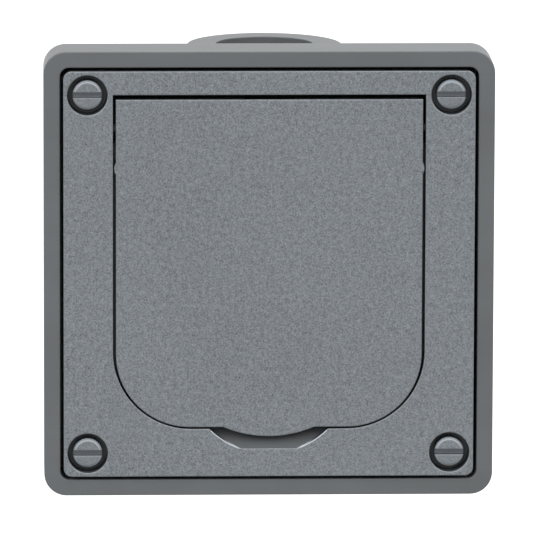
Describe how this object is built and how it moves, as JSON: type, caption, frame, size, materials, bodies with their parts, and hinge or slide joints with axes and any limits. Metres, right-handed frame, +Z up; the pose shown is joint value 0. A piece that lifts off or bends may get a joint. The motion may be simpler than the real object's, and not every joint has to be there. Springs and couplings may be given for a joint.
{
  "type": "surface-mounted earthed wall socket",
  "caption": "Splash-proof surface-mounted earthed wall socket: wall box with top cable entry, screwed cover and a sprung flap lid over the round plug recess.",
  "frame": {"origin": "on the wall plane, at the centre of the back face, behind the centre of the plug recess", "axes": "+X to the right seen from the front, +Z up, the front faces -Y and +Y goes into the wall"},
  "size_m": [0.08, 0.05, 0.08],
  "materials": {
    "housing_plastic": "smooth satin anthracite grey",
    "cover_plastic": "fine spark-eroded grain, anthracite grey",
    "cover_screw_plastic": "fine grain, anthracite grey",
    "insert_plastic": "smooth satin anthracite grey",
    "carrier_plastic": "light grey moulding",
    "seal_rubber": "matt black",
    "grommet_rubber": "matt dark grey",
    "pin_steel": "drawn bar",
    "spring_steel": "drawn wire",
    "screw_steel": "zinc plated",
    "strap_metal": "nickel plated strip",
    "contact_brass": "bright strip"
  },
  "bodies": {
    "housing": {"back_box": "housing_plastic", "cable_grommet": "grommet_rubber", "centre_nut": "screw_steel", "centre_screw": "screw_steel", "contact_carrier": "carrier_plastic", "cover_gasket": "seal_rubber", "cover_plate": "cover_plastic", "cover_screw_bottom_left": "cover_screw_plastic", "cover_screw_bottom_right": "cover_screw_plastic", "cover_screw_top_left": "cover_screw_plastic", "cover_screw_top_right": "cover_screw_plastic", "earth_clamp": "strap_metal", "earth_screw": "screw_steel", "earth_strap": "strap_metal", "entry_bush": "housing_plastic", "fixing_screw_left": "screw_steel", "fixing_screw_right": "screw_steel", "hinge_pin": "pin_steel", "lid_spring": "spring_steel", "line_clamp_left": "strap_metal", "line_clamp_right": "strap_metal", "line_contact_left": "contact_brass", "line_contact_right": "contact_brass", "line_screw_left": "screw_steel", "line_screw_right": "screw_steel", "socket_well": "insert_plastic", "wall_seal_bottom_left": "seal_rubber", "wall_seal_bottom_right": "seal_rubber", "wall_seal_top_left": "seal_rubber", "wall_seal_top_right": "seal_rubber"},
    "lid": {"hinged_lid": "cover_plastic", "lid_seal": "seal_rubber"}
  },
  "joints": [
    {"name": "lid_hinge", "type": "hinge", "parent": "housing", "child": "lid", "pos_m": [0, -0.047, 0.02605], "axis": [-1, 0, 0], "range_deg": [0, 120], "stiffness_Nm_per_rad": 0.006, "springref_deg": -28.65, "deforming": ["lid_spring"]}
  ]
}
